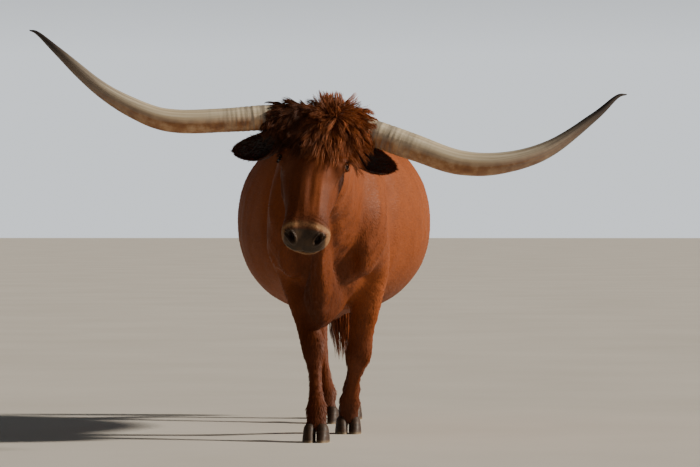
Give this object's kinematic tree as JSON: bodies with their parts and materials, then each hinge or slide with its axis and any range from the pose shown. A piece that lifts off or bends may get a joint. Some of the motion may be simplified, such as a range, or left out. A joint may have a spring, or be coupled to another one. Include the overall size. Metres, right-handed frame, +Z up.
{
  "type": "texas longhorn steer",
  "caption": "Life-size walking steer with long, upswept horns, a shaggy forelock, a deep barrel and a hanging dewlap, standing on flat-soled cloven hooves.",
  "frame": {"origin": "on the floor, under the middle of the whole animal's bounding box", "axes": "+Z up; the animal faces -Y; its left side is +X"},
  "size_m": [2.2826, 2.5734, 1.6088],
  "materials": {
    "coat": "short, close red-brown hair, slightly glossy where it lies flat",
    "long_hair": "long, shaggy red-brown hair in locks",
    "horn": "satin ivory horn, stained amber below, grey near the root and dark at the tip",
    "eye": "wet, glossy dark brown",
    "hoof": "dull dark grey-brown horn with growth rings"
  },
  "bodies": {
    "root": {"trunk": "coat", "neck": "coat", "head": "coat", "ear_left": "coat", "ear_right": "coat", "tail": "coat", "fore_left_forearm": "coat", "fore_left_cannon": "coat", "fore_right_forearm": "coat", "fore_right_cannon": "coat", "hind_left_gaskin": "coat", "hind_left_cannon": "coat", "hind_right_gaskin": "coat", "hind_right_cannon": "coat", "forelock": "long_hair", "tail_switch": "long_hair", "horn_left": "horn", "horn_right": "horn", "eye_left": "eye", "eye_right": "eye", "claw_fore_left_inner": "hoof", "claw_fore_left_outer": "hoof", "claw_fore_right_inner": "hoof", "claw_fore_right_outer": "hoof", "claw_hind_left_inner": "hoof", "claw_hind_left_outer": "hoof", "claw_hind_right_inner": "hoof", "claw_hind_right_outer": "hoof", "dewclaw_fore_left_inner": "hoof", "dewclaw_fore_left_outer": "hoof", "dewclaw_fore_right_inner": "hoof", "dewclaw_fore_right_outer": "hoof", "dewclaw_hind_left_inner": "hoof", "dewclaw_hind_left_outer": "hoof", "dewclaw_hind_right_inner": "hoof", "dewclaw_hind_right_outer": "hoof"}
  },
  "joints": []
}
